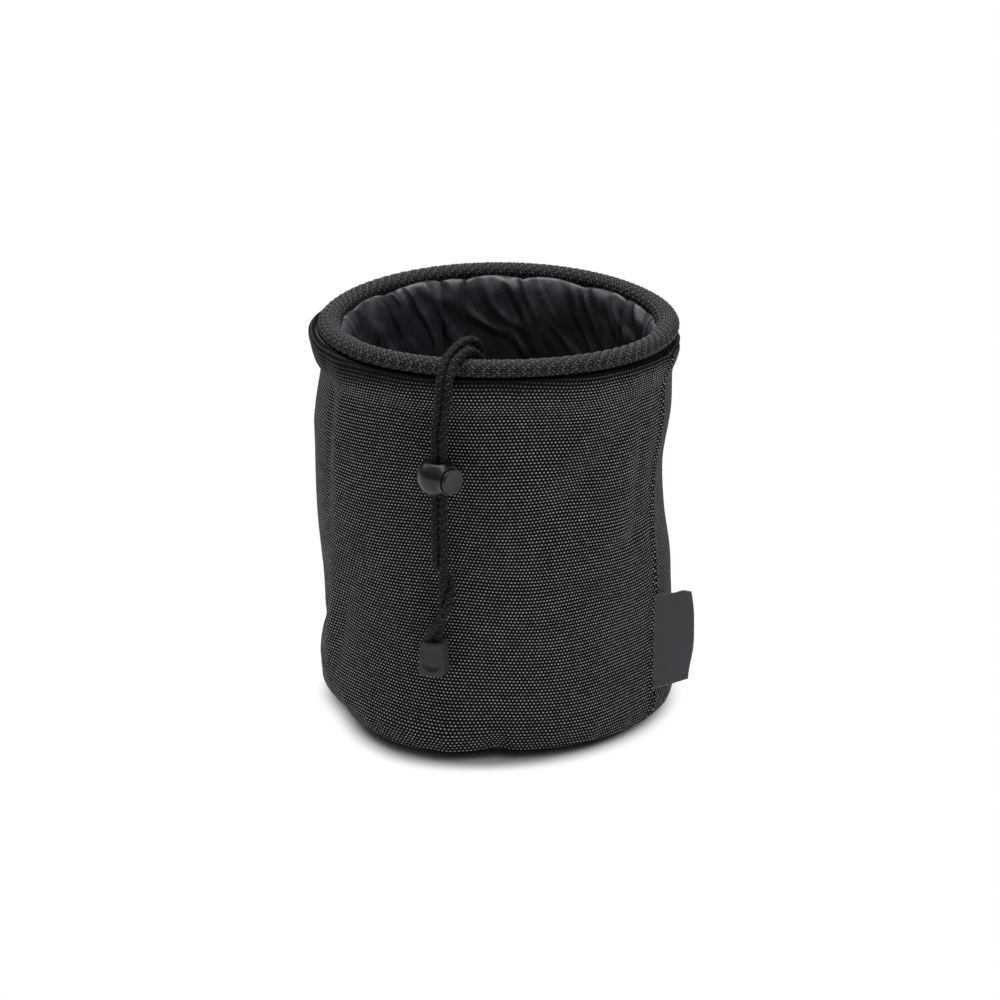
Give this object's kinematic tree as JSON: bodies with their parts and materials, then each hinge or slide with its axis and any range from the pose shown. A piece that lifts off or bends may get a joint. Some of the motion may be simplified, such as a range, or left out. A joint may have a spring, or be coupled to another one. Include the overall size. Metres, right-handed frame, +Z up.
{
  "type": "peg bag",
  "caption": "Free-standing round drawstring bag of black woven cloth with a stiff rim, inner collar, hanging cord, ball lock and cord end, for clothes pegs.",
  "frame": {"origin": "middle of the base panel's underside, on the floor", "axes": "+Z up through the mouth, -Y towards the hanging drawcord at the front, +X towards the side seam and its tab"},
  "size_m": [0.1814, 0.1829, 0.1936],
  "materials": {
    "wall_cloth": "coarse woven polyester with light dots",
    "seam_tape": "plain woven tape",
    "board_plastic": "matte",
    "rim_weave": "chunky braided tape",
    "collar_nylon": "thin satin nylon",
    "drawcord_braid": "round braid",
    "label_tape": "fine woven tape",
    "lock_plastic": "satin moulded",
    "spring_steel": "drawn wire"
  },
  "bodies": {
    "bag": {"side_panel": "wall_cloth", "side_seam_binding": "seam_tape", "base_panel": "wall_cloth", "base_seam_binding": "seam_tape", "base_board": "board_plastic", "rim_hoop": "board_plastic", "rim_binding": "rim_weave", "drawstring_collar": "collar_nylon", "drawcord_loop": "drawcord_braid", "drawcord_rise_left": "drawcord_braid", "drawcord_rise_right": "drawcord_braid", "side_label": "label_tape"},
    "cord_tail": {"drawcord_tail_left": "drawcord_braid", "drawcord_tail_right": "drawcord_braid", "cord_end_shell": "lock_plastic", "cord_end_cover": "lock_plastic"},
    "cord_lock": {"cord_lock_barrel": "lock_plastic", "cord_lock_spring": "spring_steel"},
    "lock_button": {"cord_lock_button": "lock_plastic"}
  },
  "joints": [
    {"name": "cord_tail_swing", "type": "hinge", "parent": "bag", "child": "cord_tail", "pos_m": [0, -0.0924, 0.173], "axis": [-1, 0, 0], "range_deg": [0, 95]},
    {"name": "cord_lock_slide", "type": "slide", "parent": "cord_tail", "child": "cord_lock", "axis": [0, 0, 1], "range_m": [-0.028, 0.01]},
    {"name": "lock_button_press", "type": "slide", "parent": "cord_lock", "child": "lock_button", "axis": [-0.8746, 0.4848, 0], "range_m": [0, 0.002], "stiffness_N_per_m": 600, "springref_m": -0.003, "deforming": ["cord_lock_spring"]}
  ]
}
